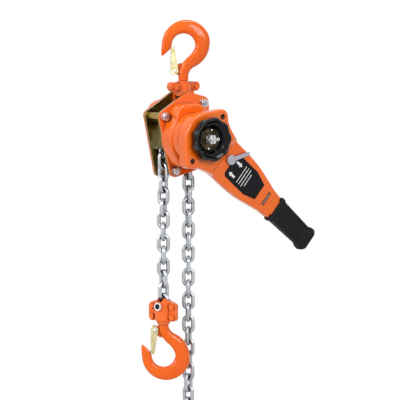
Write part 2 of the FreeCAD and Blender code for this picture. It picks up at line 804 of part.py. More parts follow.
ears = ((0, ear_offset), (0, -ear_offset))
screw_boss_r = screw_head_r + 2.0
head = rounded(lever_prism(0, -lever_front, -seam), lever_fillet, -lever_front).common(head_part(0))
front_shell = fuse([head, rounded(lever_prism(0, -arm_front, -seam), arm_fillet, -arm_front)])
front_hollow = fuse([lever_prism(wall, -lever_front + wall, -seam + 1).common(head_part(wall)),
                     lever_prism(wall, -arm_front + wall, -seam + 1)])
bosses = []
for x, z in ears:
    bosses.append(rod(screw_boss_r, -lever_front, -seam, x, z))
front_hollow = front_hollow.cut(Part.makeCompound(bosses))
front_shell = front_shell.cut(front_hollow)
front_shell = front_shell.cut(rod(front_hub_r + run, -lever_front - 1, -seam))
front_shell = front_shell.cut(rod(selector_stem_r + run, -lever_front - 1, -seam, selector_at[0], selector_at[1]))
for x, z in ears:
    front_shell = front_shell.cut(rod(screw_r + press, -lever_front - 1, -seam + 1, x, z))
    front_shell = front_shell.cut(rod(screw_head_r + 0.2, -lever_front - 1, -lever_front + 7, x, z))
export("lever_front_shell", [to_lever(front_shell)])

back_plate = lever_prism(0, -seam, -seam + back_depth)
drum_r = ear_offset - screw_nut[0] / 2 - free
drum_back = rounded(rod(drum_r, -seam, -lever_back), 3.0, -lever_back)
rear_shell = fuse([back_plate, drum_back])
rear_shell = rear_shell.cut(rod(drum_r - wall, -seam - 1, -lever_back - wall))
arm_hollow = lever_prism(wall, -seam - 1, -seam + back_depth - wall).common(box(drum_r - 15, 400, -200, 0, -80, 80))
rear_shell = rear_shell.cut(arm_hollow)
rear_shell = rear_shell.cut(rod(change_hub_r + run, -lever_back - 5, -lever_back + 1))
for x, z in ears:
    rear_shell = rear_shell.cut(rod(screw_r + press, -seam - 1, -seam + back_depth + 1, x, z))
rear_shell = rear_shell.cut(rod(selector_stem_r + run, -seam - 1, -seam + back_depth + 1, selector_at[0],
                                selector_at[1]))
export("lever_rear_shell", [to_lever(rear_shell)])

screws = []
for x, z in ears:
    head = rod(screw_head_r, -lever_front + 3.5, -lever_front + 7, x, z)
    socket = hexagon(3.6, -lever_front + 3, -lever_front + 5.5, x, z)
    shank = rod(screw_r, -lever_front + 7, -seam + back_depth, x, z)
    nut = hexagon(screw_nut[0], -seam + back_depth, -seam + back_depth + screw_nut[1], x, z)
    screws.append(to_lever(fuse([head, shank, nut]).cut(socket)))
export("lever_screws", screws)

# Grip: waisted rubber sleeve with a lip at its mouth and a flared end
grip_y0 = -(arm_front + grip_wall)
grip_y1 = -(seam - back_depth - grip_wall)
grip_points = [Vec(grip_start, grip_y0, grip_lip), Vec(grip_start + 5.5, grip_y0, grip_lip),
               Vec(grip_start + 9.5, grip_y0, grip_waist),
               Vec(grip_end - 17, grip_y0, grip_narrow), Vec(grip_end - 10, grip_y0, grip_flare),
               Vec(grip_end - 4, grip_y0, grip_flare), Vec(grip_end, grip_y0, grip_flare - 5)]
grip_outline = grip_points + [Vec(p.x, p.y, -p.z) for p in reversed(grip_points)] + [grip_points[0]]
grip = Part.Face(Part.makePolygon(grip_outline)).extrude(Vec(0, grip_y1 - grip_y0, 0))
grip = rounded(rounded(grip, 3.0, grip_y0), 3.0, grip_y1)
grip = grip.cut(box(grip_start - 1, arm_end, -arm_front, -seam + back_depth, -tang_half, tang_half))
export("grip", [to_lever(grip)])

# Label plate with cut corners, and the bare data plate
label_y = -arm_front
label_points = [Vec(label_start, label_y, label_half - label_cut),
                Vec(label_start + label_cut, label_y, label_half),
                Vec(label_shoulder, label_y, label_half), Vec(label_end, label_y, label_end_half)]
label_outline = label_points + [Vec(p.x, p.y, -p.z) for p in reversed(label_points)] + [label_points[0]]
label = Part.Face(Part.makePolygon(label_outline)).extrude(Vec(0, -label_t, 0))
label = label.cut(rod(selector_stem_r + 1, -lever_front, 0, selector_at[0], selector_at[1]))
export("label_plate", [to_lever(label)])
data_half = data_plate_size[1] / 2
data_plate = box(data_plate_at - data_plate_size[0] / 2, data_plate_at + data_plate_size[0] / 2,
                 -arm_front - label_t, -arm_front, -data_half, data_half)
export("data_plate", [to_lever(data_plate)])

# Selector: disc and handle outside, stem through the shell, two-nosed pawl inside
sx, sz = selector_at
selector_back = arm_front + label_t + free
aim = math.radians(selector_bearing)
bar_end = (sx + (selector_reach - 2.5) * math.cos(aim), sz + (selector_reach - 2.5) * math.sin(aim), 2.5)
bar = hull([(sx, sz, selector_bar / 2 + 0.6), bar_end], -selector_back - selector_t, -selector_back - 0.8)
disc = rounded(rod(selector_disc_r, -selector_back - selector_t - 0.6, -selector_back, sx, sz), 0.8,
               -selector_back - selector_t - 0.6)
stem_end = seam - back_depth + 0.5
selector = fuse([disc, bar, rod(selector_stem_r, -selector_back, -stem_end, sx, sz)])
export("selector", [to_lever(selector)])
pawl_y0 = -arm_front + wall + 0.4
noses = []
to_shaft = math.atan2(-sz, -sx)
reach = math.hypot(sx, sz) - change_tip_r - 2.6
for side in (-1, 1):
    swing = to_shaft + side * math.radians(34)
    nose = (sx + reach * math.cos(swing), sz + reach * math.sin(swing), 2.2)
    noses.append(hull([(sx, sz, selector_stem_r + 3.5), nose], pawl_y0, pawl_y0 + 6.4))
selector_pawl = fuse(noses).cut(rod(selector_stem_r + press, -lever_front, 0, sx, sz))
export("selector_pawl", [to_lever(selector_pawl)])

# Handwheel with nine lobes and a cup in front


def lobed_wire(radius, lobe, y):
    points = []
    per_lobe = 4
    for k in range(wheel_lobes * per_lobe):
        angle = 2 * math.pi * k / (wheel_lobes * per_lobe)
        reach = radius + lobe * math.cos(wheel_lobes * angle)
        points.append(Vec(reach * math.cos(angle), y, reach * math.sin(angle)))
    curve = Part.BSplineCurve()
    curve.interpolate(Points=points, PeriodicFlag=True)
    return Part.Wire([curve.toShape()])


rim = Part.Face(lobed_wire(wheel_r, wheel_lobe, -wheel_front)).extrude(Vec(0, wheel_front - wheel_back, 0))
rim = rounded(rounded(rim, 2.2, -wheel_front), 2.2, -wheel_back)
back = Part.makeCone(wheel_hub_r + 5, wheel_hub_r, wheel_back - wheel_floor_back + 1, Vec(0, -wheel_back - 1, 0),
                     ALONG)
cup = Part.makeCone(cup_r, cup_floor_r, wheel_front - wheel_floor, Vec(0, -wheel_front, 0), ALONG)
handwheel = fuse([rim, back]).cut(cup)
handwheel = handwheel.cut(rod(front_hub_r + run, -wheel_floor - 1, -wheel_floor_back + 1))
export("handwheel", [handwheel])

ring_plate_r = cup_floor_r - 0.4
ring_plate_bore = free_spring_r + free_spring_wire + free
ring_plate = ring(ring_plate_r, ring_plate_bore, -wheel_floor - ring_plate_t, -wheel_floor)
rivet_ring_r = 14.0
rivets = []
for side in (79, 259):
    turn = math.radians(side)
    x = rivet_ring_r * math.cos(turn)
    z = rivet_ring_r * math.sin(turn)
    ring_plate = ring_plate.cut(rod(1.5 + press, -90, -80, x, z))
    head = Part.makeSphere(1.9, Vec(x, -wheel_floor - ring_plate_t, z))
    head = head.common(rod(3, -wheel_floor - 5, -wheel_floor - ring_plate_t, x, z))
    rivets.append(fuse([head, rod(1.5, -wheel_floor - ring_plate_t, -wheel_floor, x, z)]))
export("wheel_ring_plate", [ring_plate])
export("wheel_rivets", rivets)

castle = hexagon(castle_flats, -castle_front, -castle_back).cut(rod(castle_thread_r + press, -110, 0))
for k in range(3):
    slot = turned(box(-10, 10, -castle_front - 1, -castle_front + 2.2, -1.2, 1.2), 60 * k + 30, Vec(0, 0, 0), ALONG)
    if k != 0:
        castle = castle.cut(slot)
castle = castle.cut(box(-10, 10, -castle_front - 1, -castle_front + 2.6, -1.25, 1.25))
export("castle_nut", [castle])
cotter = Part.makeCylinder(cotter_r, 17.5, Vec(-9, cotter_y, 0), RIGHT)
cotter_eye = Part.makeTorus(1.9, 0.8, Vec(10.4, cotter_y, 0), ALONG)
export("cotter_pin", [fuse([cotter, cotter_eye])])

free_spring = coil_spring(free_spring_r, free_spring_wire, 2.5, -castle_back + run, -front_hub_end - run)
export("free_chain_spring", [free_spring])

# Hooks: forged section lofted round the bowl, round shank, forged head held in the yoke


def hook_section(inner, outer, thickness):
    # Egg-shaped forging section between two points of the hook's plane.
    middle = Vec((inner[0] + outer[0]) / 2, 0, (inner[1] + outer[1]) / 2)
    along = Vec(outer[0] - middle.x, 0, outer[1] - middle.z)
    points = []
    for k in range(12):
        angle = math.radians(30 * k)
        c = math.cos(angle)
        s = math.sin(angle)
        x = math.copysign(abs(c) ** 0.72, c)
        y = math.copysign(abs(s) ** 0.72, s)
        points.append(middle + along * x + ALONG * (y * thickness / 2 * (1 - 0.12 * x)))
    curve = Part.BSplineCurve()
    curve.interpolate(Points=points, PeriodicFlag=True)
    return Part.Wire([curve.toShape()])


def on_bowl(angle, radius):
    turn = math.radians(angle)
    return (radius * math.cos(turn), radius * math.sin(turn))


def forged_hook(shank_z, head_z0):
    # Bowl centre at the origin, shank up, throat to the left.
    sections = [((-7.4, 44.0), (7.7, 44.0), 15.2), ((-6.2, 36.5), (10.6, 37.8), 15.4),
                ((-2.4, 28.6), (16.2, 33.0), 15.8), ((4.0, 20.4), (24.6, 28.0), 16.4),
                ((11.0, 13.9), (32.6, 19.6), 17.0)]
    for angle, outer_r, thickness in ((8, 39.2, 17.2), (-15, 41.0, 17.2), (-40, 40.8, 17.0), (-65, 39.8, 16.6),
                                      (-90, 38.2, 16.2), (-115, 36.0, 15.4), (-140, 34.2, 14.4),
                                      (-163, 33.0, 13.4)):
        sections.append((on_bowl(angle, bowl_r), on_bowl(angle, outer_r), thickness))
    sections.append(((-18.2, 1.6), (-33.4, 5.6), 12.2))
    sections.append(((-19.6, 4.6), (-33.6, 12.6), 10.6))
    sections.append(((-22.0, 7.4), (-33.0, 15.2), 8.6))
    sections.append(((-24.6, 9.9), (-31.6, 15.9), 6.0))
    wires = [hook_section(inner, outer, thickness) for inner, outer, thickness in sections]
    body = Part.makeLoft(wires, True, False)
    shank = fuse([post(shank_r, 40.0, shank_z), post(neck_r, shank_z - 1, head_z0 + 1),
                  post(hook_head_r, head_z0, head_z0 + hook_head_t)])
    px, pz = latch_pivot
    lug = hull([(px, pz, 5.2), (-4.0, 31.0, 4.0), (-4.0, 42.0, 4.0)], -lug_half, lug_half)
    hook = fuse([body, shank, lug])
    return hook.cut(rod(latch_pin_r + run, -20, 20, px, pz))


def latch():
    # Sheet-steel channel: web on the outside, two cheeks that straddle the lug.
    px, pz = latch_pivot
    web_x = -19.2
    tip_z = 1.8
    cheeks = []
    outline = [(px, pz, 4.9), (web_x + 4.6, pz + 2.0, 4.6), (web_x + 2.0, 6.0, 2.0), (web_x + 3.8, tip_z + 1.4, 1.4),
               (web_x + 4.6, 8.0, 1.6)]
    solid = hull(outline, -latch_half, latch_half)
    hollow = hull(grown(outline, -latch_sheet), -latch_half + latch_sheet, latch_half - latch_sheet)
    opening = box(web_x + latch_sheet + 1.2, 10, -latch_half + latch_sheet, latch_half - latch_sheet, tip_z - 2, 60)
    shape = solid.cut(hollow).cut(opening)
    cheeks.append(shape.cut(rod(latch_pin_r + run, -20, 20, px, pz)))
    return cheeks[0]


def latch_rivet():
    px, pz = latch_pivot
    y = latch_half + 0.1
    rivet = [rod(latch_pin_r, -y, y, px, pz)]
    for side in (-1, 1):
        head = Part.makeSphere(3.4, Vec(px, side * (y - 1.6), pz))
        rivet.append(head.common(box(px - 5, px + 5, min(side * y, side * (y + 3)), max(side * y, side * (y + 3)),
                                     pz - 5, pz + 5)))
    return fuse(rivet)


def latch_spring():
    # Small coil on the rivet, between the lug and one cheek.
    px, pz = latch_pivot
    return coil_spring(latch_pin_r + 0.7, 0.35, 1.5, lug_half + 0.1, latch_half - latch_sheet - 0.1, px, pz)


def hang_top(shape):
    # The top hook is the same forging upside down, standing on the yoke.
    copy = turned(shape, 180, Vec(0, 0, 0), RIGHT)
    copy.rotate(Vec(0, 0, 0), UP, top_hook_turn)
    copy.translate(Vec(hook_axis_x, 0, top_bowl_z))
    return copy


block_centre = Vec(-strand_x, 0, chain_pin_z)
bottom_bowl = 75.0


def hang_bottom(shape):
    copy = turned(shape, bottom_hook_turn)
    copy.translate(block_centre - UP * bottom_bowl)
    return copy


def hang_block(shape):
    copy = turned(shape, block_turn)
    copy.translate(block_centre)
    return copy


top_head_z0 = top_bowl_z - head_top
export("top_hook", [hang_top(forged_hook(top_bowl_z - yoke_top - 1.2, top_head_z0))])
export("top_latch", [hang_top(latch())])
export("top_latch_rivet", [hang_top(latch_rivet())])
export("top_latch_spring", [hang_top(latch_spring())])
bottom_head_z0 = bottom_bowl + block_head_top - hook_head_t
export("bottom_hook", [hang_bottom(forged_hook(bottom_bowl + block_bottom - 1.0, bottom_head_z0))])
export("bottom_latch", [hang_bottom(latch())])
export("bottom_latch_rivet", [hang_bottom(latch_rivet())])
export("bottom_latch_spring", [hang_bottom(latch_spring())])

# Top yoke: two halves bolted together round the hook's head, legs down to the top pin


def yoke_half(side):
    barrel = fuse([post(barrel_r, 60.5, 78), post(yoke_boss_r, 77, yoke_top)])
    leg_out = plate_in - free
    web = box(-lobe_offset, lobe_offset, -5.5, 5.5, 70, 79.2)
    parts = [barrel, web]
    for x in (-lobe_offset, lobe_offset):
        parts.append(rod(lobe_r, -lobe_t, lobe_t, x, lobe_z))
    parts.append(box(-leg_half, leg_half, -leg_out, leg_out, 61.5, 69))
    for across in (-1, 1):
        low = min(across * leg_out, across * (leg_out - leg_t))
        high = max(across * leg_out, across * (leg_out - leg_t))
        parts.append(box(-leg_half, leg_half, low, high, top_pin_z, 68))
        parts.append(rod(leg_half, low, high, 0, top_pin_z))
    yoke = fuse(parts)
    head_z1 = head_top + free
    holes = [post(neck_r + run, head_top - 2, yoke_top + 1), post(hook_head_r + free, head_top - hook_head_t - free, head_z1),
             rod(top_pin_r + run, -40, 40, 0, top_pin_z)]
    for x in (-lobe_offset, lobe_offset):
        holes.append(rod(bolt_r + press, -40, 40, x, lobe_z))
    yoke = yoke.cut(Part.makeCompound(holes))
    keep = box(-60, 60, 0, 60, 0, 120) if side > 0 else box(-60, 60, -60, 0, 0, 120)
    half = yoke.common(keep)
    half.translate(Vec(hook_axis_x, 0, 0))
    return half


export("top_yoke_front", [yoke_half(-1)])
export("top_yoke_rear", [yoke_half(1)])


def clamp_bolt(x, z, half_t):
    head = hexagon(8.0, -half_t - 3.0, -half_t, x, z)
    nut = hexagon(8.0, half_t, half_t + 3.6, x, z)
    return fuse([head, rod(bolt_r, -half_t, half_t, x, z), nut])


yoke_bolts = []
for side in (-1, 1):
    bolt = clamp_bolt(side * lobe_offset, lobe_z, lobe_t)
    bolt.translate(Vec(hook_axis_x, 0, 0))
    yoke_bolts.append(bolt)
export("top_yoke_bolts", yoke_bolts)

# Bottom block: two halves bolted together round the chain pin and the hook's head


def block_half(side):
    slot_floor = -pitch / 2 - wire_d - 1.0
    profile = [Vec(0, 0, block_bottom), Vec(8.7, 0, block_bottom), Vec(9.6, 0, block_bottom + 2.2),
               Vec(block_barrel_r, 0, block_bottom + 7), Vec(block_barrel_r, 0, 5), Vec(10.4, 0, 9.6),
               Vec(7.5, 0, 12.0), Vec(0, 0, 12.0)]
    barrel = Part.Face(Part.makePolygon(profile + [profile[0]])).revolve(Vec(0, 0, 0), UP, 360)
    ears = []
    for x, z in ((block_bolt_x, block_bolt_z[1]), (block_bolt_x, block_bolt_z[0]), (-block_bolt_x, block_bolt_z[0]),
                 (-block_bolt_x, block_bolt_z[1])):
        ears.append((x, z, block_ear_r))
    flange = hull(ears[:2] + [block_crown] + ears[2:], -block_flange_t, block_flange_t)
    boss = rod(7.6, -13.0, 13.0)
    block = fuse([barrel, flange, boss])
    slot_half = wire_r + 0.4
    link_half = link_width / 2 + 0.6
    holes = [rod(link_half, -slot_half, slot_half), box(-link_half, link_half, -slot_half, slot_half, 0, 20),
             box(-link_half - 0.6, link_half + 0.6, -slot_half, slot_half, 2.5, 20),
             box(-wire_r - 1.8, wire_r + 1.8, -20, 20, 6.6, 20),
             post(neck_r + run, block_bottom - 1, block_head_top), rod(chain_pin_r + press, -30, 30),
             post(hook_head_r + free, block_head_top - hook_head_t - free, block_head_top + free)]
    for x, z, _ in ears:
        holes.append(rod(bolt_r + press, -30, 30, x, z))
    block = block.cut(Part.makeCompound(holes))
    keep = box(-60, 60, 0, 60, -60, 60) if side > 0 else box(-60, 60, -60, 0, -60, 60)
    return block.common(keep)


export("bottom_block_front", [hang_block(block_half(-1))])
export("bottom_block_rear", [hang_block(block_half(1))])
block_bolts = []
for x in (-block_bolt_x, block_bolt_x):
    for z in block_bolt_z:
        block_bolts.append(hang_block(clamp_bolt(x, z, block_flange_t)))
export("bottom_block_bolts", block_bolts)
pin_head_r = 6.2
chain_pin = fuse([rod(chain_pin_r, -13.0, 13.0), rod(pin_head_r, -16.0, -13.0), rod(pin_head_r, 13.0, 15.0)])
chain_pin = chain_pin.cut(hexagon(6.6, -17, -13.6))
export("chain_pin", [hang_block(chain_pin)])
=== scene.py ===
import json
import math

import bmesh
import bpy
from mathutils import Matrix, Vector

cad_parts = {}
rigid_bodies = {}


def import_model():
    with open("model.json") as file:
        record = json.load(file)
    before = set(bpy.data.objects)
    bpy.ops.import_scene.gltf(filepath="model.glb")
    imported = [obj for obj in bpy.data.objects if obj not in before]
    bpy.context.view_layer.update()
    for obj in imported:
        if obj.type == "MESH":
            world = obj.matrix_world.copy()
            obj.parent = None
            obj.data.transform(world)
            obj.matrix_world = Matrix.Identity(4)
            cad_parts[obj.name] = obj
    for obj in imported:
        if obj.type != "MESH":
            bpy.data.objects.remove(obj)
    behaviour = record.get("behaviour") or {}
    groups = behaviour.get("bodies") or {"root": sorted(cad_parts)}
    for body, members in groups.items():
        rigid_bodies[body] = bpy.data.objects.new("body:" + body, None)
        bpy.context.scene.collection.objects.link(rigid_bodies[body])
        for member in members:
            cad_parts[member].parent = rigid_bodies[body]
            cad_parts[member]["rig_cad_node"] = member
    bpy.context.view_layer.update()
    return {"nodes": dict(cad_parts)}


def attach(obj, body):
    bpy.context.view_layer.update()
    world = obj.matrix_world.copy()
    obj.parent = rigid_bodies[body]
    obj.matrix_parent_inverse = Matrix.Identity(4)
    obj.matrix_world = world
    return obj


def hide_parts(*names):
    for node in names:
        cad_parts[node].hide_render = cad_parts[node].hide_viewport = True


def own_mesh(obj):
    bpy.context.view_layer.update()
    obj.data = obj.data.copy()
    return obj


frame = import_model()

# The studio: a white room with a square soft lamp in front on the right, a tall one on the left for
# the streaks on the paint, and a wide one overhead. The camera looks at the hoist from its
# handwheel side, a little from the left and from slightly above, through a long lens.
view_turn = math.radians(-35.0)
view_rise = math.radians(5.0)
view_distance = 6.0
view_width = 0.6052
film_width = 36.0
middle = Vector((0.0112, -0.0279, -0.2512))
rightward = Vector((math.cos(view_turn), math.sin(view_turn), 0))
towards = Vector((math.sin(view_turn), -math.cos(view_turn), 0))
upward = Vector((0, 0, 1))
eye = middle + (towards * math.cos(view_rise) + upward * math.sin(view_rise)) * view_distance
bpy.ops.object.camera_add(location=eye, rotation=(math.pi / 2 - view_rise, 0, view_turn))
camera = bpy.context.object
camera.data.sensor_width = film_width
camera.data.lens = film_width * view_distance / view_width
camera.data.clip_end = 10 * view_distance
bpy.context.scene.camera = camera
bpy.context.scene.view_settings.view_transform = "Standard"


def softbox(side, front, height, width, tall, power):
    """A lamp that faces the hoist, its place counted from the hoist's middle as the camera sees."""
    spot = middle + rightward * side + towards * front + upward * height
    bpy.ops.object.light_add(type="AREA", location=spot)
    lamp = bpy.context.object
    lamp.data.shape = "RECTANGLE"
    lamp.data.size = width
    lamp.data.size_y = tall
    lamp.data.energy = power
    lamp.rotation_euler = (middle - spot).to_track_quat("-Z", "Y").to_euler()


softbox(0.7, 1.5, 0.7, 0.7, 0.7, 16.0)
softbox(-1.3, 0.7, 0.6, 0.5, 1.0, 13.0)
softbox(0.2, 0.2, 1.8, 0.9, 0.4, 12.0)


class Flow:
    """A number, colour or direction on its way into a finish; sums on it add their nodes."""

    def __init__(self, tree, socket):
        self.tree = tree
        self.socket = socket

    def node(self, kind, settings, inputs, output=0):
        made = self.tree.nodes.new(kind)
        for name, value in settings.items():
            setattr(made, name, value)
        for name, value in inputs.items():
            if isinstance(value, Flow):
                self.tree.links.new(value.socket, made.inputs[name])
            else:
                made.inputs[name].default_value = value
        return Flow(self.tree, made.outputs[output])

    def sum(self, operation, first, second):
        return self.node("ShaderNodeMath", {"operation": operation}, {0: first, 1: second})

    def __add__(self, other):
        return self.sum("ADD", self, other)

    def __sub__(self, other):
        return self.sum("SUBTRACT", self, other)

    def __rsub__(self, other):
        return self.sum("SUBTRACT", other, self)

    def __mul__(self, other):
        return self.sum("MULTIPLY", self, other)

    def __gt__(self, other):
        return self.sum("GREATER_THAN", self, other)

    def __abs__(self):
        return self.node("ShaderNodeMath", {"operation": "ABSOLUTE"}, {0: self})


def finish(name, fixed):
    """A new material, its surface node with the fixed values set, and each place on the piece."""
    made = bpy.data.materials.new(name)
    made.use_nodes = True
    shader = made.node_tree.nodes["Principled BSDF"]
    for socket, value in fixed.items():
        shader.inputs[socket].default_value = value
    place = made.node_tree.nodes.new("ShaderNodeTexCoord")
    return made, shader, Flow(made.node_tree, place.outputs["Object"])


def feed(shader, socket, flow):
    flow.tree.links.new(flow.socket, shader.inputs[socket])


def mottle(place, scale, detail=2.0, rough=0.5):
    return place.node("ShaderNodeTexNoise", {}, {"Vector": place, "Scale": scale, "Detail": detail,
                                                 "Roughness": rough})


def blend(factor, first, second):
    """From the first colour to the second. They are the node's inputs 6 and 7, its output is 2."""
    return factor.node("ShaderNodeMix", {"data_type": "RGBA"}, {0: factor, 6: first, 7: second}, 2)


def spread(flow, low, high, to_low, to_high):
    """Stretches what lies between low and high over the range to_low to to_high."""
    return flow.node("ShaderNodeMapRange", {}, {0: flow, 1: low, 2: high, 3: to_low, 4: to_high})


def combine(operation, first, second, output="Value"):
    """A number or a direction worked out from two directions."""
    return first.node("ShaderNodeVectorMath", {"operation": operation}, {0: first, 1: second},
                      output)


def rounded_edges(place, radius):
    """The surface's direction with its edges softened, and how near an edge each place lies."""
    soft = place.node("ShaderNodeBevel", {"samples": 6}, {"Radius": radius})
    flat = place.node("ShaderNodeNewGeometry", {}, {}, "Normal")
    return soft, spread(1 - combine("DOT_PRODUCT", soft, flat), 0.01, 0.2, 0.0, 1.0)


def crevice(place, reach):
    """How deep in a corner each place lies: 0 in the open, nearly 1 in a crack."""
    return 1 - place.node("ShaderNodeAmbientOcclusion", {"samples": 6}, {"Distance": reach}, "AO")


def relief(height, strength, depth, soft=None):
    settled = {"Strength": strength, "Distance": depth, "Height": height}
    if soft is not None:
        settled["Normal"] = soft
    return height.node("ShaderNodeBump", {}, settled)


# How far off a corner may be and still count as lying at a face or at a point, and the distance
# within which doubled corners become one.
hair = 0.0001
same_place = 0.00001
weld = 0.000001


def coat(material, *names):
    for name in names:
        skin = frame["nodes"][name].data
        skin.materials.clear()
        skin.materials.append(material)


def choose(*parts):
    """Selects these pieces and no others, the first of them as the active one."""
    bpy.ops.object.select_all(action="DESELECT")
    for part in parts:
        part.select_set(True)
    bpy.context.view_layer.objects.active = parts[0]


def settle():
    """Moves the selected piece's place, turn and size into its mesh."""
    bpy.ops.object.transform_apply(location=True, rotation=True, scale=True)


def pick(part, kind, test):
    """Selects, on the piece being shaped, the corners or edges that pass the test."""
    bpy.ops.mesh.select_mode(type={"verts": "VERT", "edges": "EDGE"}[kind])
    bpy.ops.mesh.select_all(action="DESELECT")
    mesh = bmesh.from_edit_mesh(part.data)
    for item in getattr(mesh, kind):
        item.select_set(test(item))
    mesh.select_flush_mode()
    bmesh.update_edit_mesh(part.data)


# White room: the world lights the hoist weakly and evenly, and shows as plain white behind it and
# in bright metal. The floor is a white-painted round sheet under the chain's end, which takes the
# hoist's shadow.
world_light = 0.25
room = bpy.data.worlds.new("white_room")
bpy.context.scene.world = room
room.use_nodes = True
sky = room.node_tree.nodes["Background"]
path = room.node_tree.nodes.new("ShaderNodeLightPath")
seen = Flow(room.node_tree, path.outputs["Is Camera Ray"])
shine = Flow(room.node_tree, path.outputs["Is Glossy Ray"])
through = Flow(room.node_tree, path.outputs["Is Transmission Ray"])
feed(sky, "Strength", spread(seen + shine + through, 0.0, 1.0, world_light, 1.0))
sky.inputs["Color"].default_value = (1.0, 1.0, 1.0, 1.0)

floor_radius = 0.62
floor_height = -0.606
bpy.ops.object.select_all(action="DESELECT")
bpy.ops.mesh.primitive_circle_add(vertices=96, radius=floor_radius, fill_type="NGON",
                                  location=(0, 0, floor_height))
floor = bpy.context.object
floor.name = "studio_floor"
paint, shader, place = finish("studio_floor_white", {"Base Color": (0.9, 0.9, 0.9, 1),
                                                     "Roughness": 0.9, "Emission Strength": 1.0})
feed(shader, "Roughness", spread(mottle(place, 6.0), 0.3, 0.7, 0.85, 0.95))
seen = place.node("ShaderNodeLightPath", {}, {}, "Is Camera Ray")
feed(shader, "Emission Color", blend(seen, (0, 0, 0, 1), (0.4, 0.4, 0.4, 1)))
floor.data.materials.append(paint)


# Top and bottom hooks: drop-forged alloy steel, shot-blasted and powder-coated in orange. The
# shank's head turns between the halves of the yoke or block that clamp round it.
def powder_coat(name, bright, deep, rounding, gloss=0.85):
    """Paint from bright to deep in soft patches, with painted shade in corners, a painted highlight
    along its edges, and rougher edges.
    """
    made, shader, place = finish(name, {"IOR": 1.5, "Specular IOR Level": 0.08,
                                        "Coat Roughness": 0.07})
    soft, edge = rounded_edges(place, rounding)
    drift = spread(mottle(place, 11.0, 3.0), 0.35, 0.65, 0.0, 1.0)
    tone = blend(drift, bright, deep)
    # Painted shade: the paint turns dark red-brown in corners and cracks, and next to other parts.
    corner = spread(crevice(place, 0.008), 0.2, 0.65, 0.0, 0.85)
    tone = blend(corner, tone, (0.3, 0.022, 0.002, 1))
    # Painted highlight: the paint is a paler orange along its rounded edges.
    tone = blend(edge * 0.5, tone, (0.99, 0.36, 0.12, 1))
    specks = mottle(place, 2600.0, 1.0) > 0.76
    tone = blend(specks * 0.12, tone, (deep[0] * 0.6, deep[1] * 0.5, deep[2], 1))
    feed(shader, "Base Color", tone)
    rubbed = spread(mottle(place, 55.0, 4.0, 0.6), 0.4, 0.7, 0.22, 0.34)
    feed(shader, "Roughness", rubbed + edge * 0.06)
    sheen = spread(mottle(place, 21.0, 2.0), 0.3, 0.7, gloss, gloss - 0.2)
    feed(shader, "Coat Weight", sheen)
    peel = mottle(place, 420.0, 2.0, 0.4)
    feed(shader, "Normal", relief(peel, 0.03, 0.0004, soft))
    return made


forged_edge = 0.0012
orange_forging = powder_coat("orange_forging", (0.98, 0.168, 0.008, 1), (0.92, 0.132, 0.004, 1),
                             forged_edge)
# Painted shade: the hooks' paint is a darker, less glossy copy of the forging orange.
orange_hook = powder_coat("orange_hook", (0.93, 0.148, 0.003, 1), (0.84, 0.112, 0.001, 1),
                          forged_edge, 0.6)
coat(orange_hook, "top_hook", "bottom_hook")


# Safety latches: channels folded from thin steel sheet, yellow zinc plated, each on a riveted pin
# in the hook's lug and pushed shut by a small wire spring.
def zinc_plate(name, base, tint, shade, smooth, rough, rounding, painted_edge_lighting=(0.9, 0.86, 0.74, 1)):
    """Plated metal: clouds of shade and tint on the base colour, with painted shade in corners and
    a painted edge colour, a highlight when pale and a shade when dark.
    """
    made, shader, place = finish(name, {"Metallic": 1.0, "IOR": 1.5})
    soft, edge = rounded_edges(place, rounding)
    cloud = spread(mottle(place, 38.0, 4.0, 0.62), 0.32, 0.68, 0.0, 1.0)
    bloom = spread(mottle(place, 90.0, 3.0), 0.45, 0.7, 0.0, 1.0)
    tone = blend(bloom * 0.7, blend(cloud, base, shade), tint)
    # Painted shade: the metal darkens to dark brown in corners and next to other parts.
    corner = spread(crevice(place, 0.005), 0.3, 0.9, 0.0, 0.6)
    tone = blend(corner, tone, (0.1, 0.08, 0.04, 1))
    # Painted light: the edges take the edge colour, a painted highlight when it is pale.
    feed(shader, "Base Color", blend(edge * 0.5, tone, painted_edge_lighting))
    feed(shader, "Roughness", spread(mottle(place, 160.0, 5.0, 0.65), 0.3, 0.7, smooth, rough))
    grain = mottle(place, 1500.0, 2.0)
    feed(shader, "Normal", relief(grain, 0.12, 0.0002, soft))
    return made


# The latches' edge colour is dark: painted shade along their edges.
gold_zinc = zinc_plate("gold_zinc", (0.7, 0.62, 0.34, 1), (0.8, 0.75, 0.52, 1),
                       (0.5, 0.42, 0.18, 1), 0.24, 0.4, 0.0008, (0.22, 0.18, 0.06, 1))
coat(gold_zinc, "top_latch", "bottom_latch")
bright_zinc = zinc_plate("bright_zinc", (0.78, 0.77, 0.79, 1), (0.86, 0.84, 0.84, 1),
                         (0.6, 0.6, 0.62, 1), 0.24, 0.42, 0.0003)
coat(bright_zinc, "top_latch_rivet", "bottom_latch_rivet")
spring_steel = zinc_plate("spring_steel", (0.5, 0.5, 0.52, 1), (0.56, 0.55, 0.53, 1),
                          (0.38, 0.38, 0.4, 1), 0.18, 0.3, 0.0001)
coat(spring_steel, "top_latch_spring", "bottom_latch_spring")

# Top yoke: two forged halves, bolted together round the hook's head, whose legs reach down to the
# top pin between the side plates. Painted together with their bolts.
coat(orange_forging, "top_yoke_front", "top_yoke_rear", "top_yoke_bolts")

